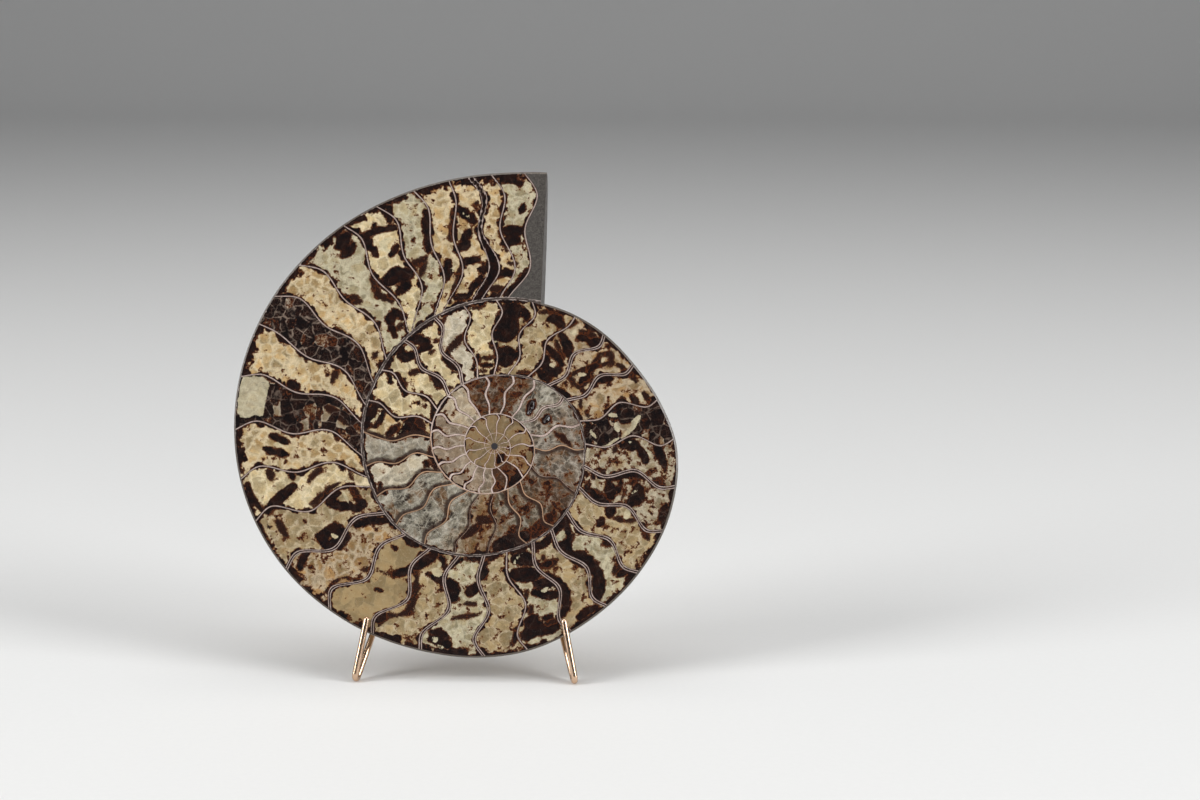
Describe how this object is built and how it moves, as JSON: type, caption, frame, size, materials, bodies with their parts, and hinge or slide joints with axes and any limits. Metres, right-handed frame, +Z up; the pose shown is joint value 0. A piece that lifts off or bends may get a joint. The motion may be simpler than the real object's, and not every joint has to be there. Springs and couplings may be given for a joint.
{
  "type": "ammonite fossil half on stand",
  "caption": "Polished half of a sawn ammonite fossil with crystal-filled chambers, leaning on a small bent-wire easel with two front hooks and a rear leg.",
  "frame": {"origin": "centre of the bounding box at its bottom, on the table the stand rests on", "axes": "+Z up, -Y the way the polished face looks (it leans back 12 degrees), +X to the right as seen from the front"},
  "size_m": [0.1374, 0.0856, 0.1539],
  "materials": {
    "polished_fossil": "cream, honey and near-black calcite with thin pale septa, polished to a gloss",
    "rose_gold_wire": "rose gold plated round wire, polished"
  },
  "bodies": {
    "root": {"ammonite_half": "polished_fossil", "wire_stand": "rose_gold_wire"}
  },
  "joints": []
}
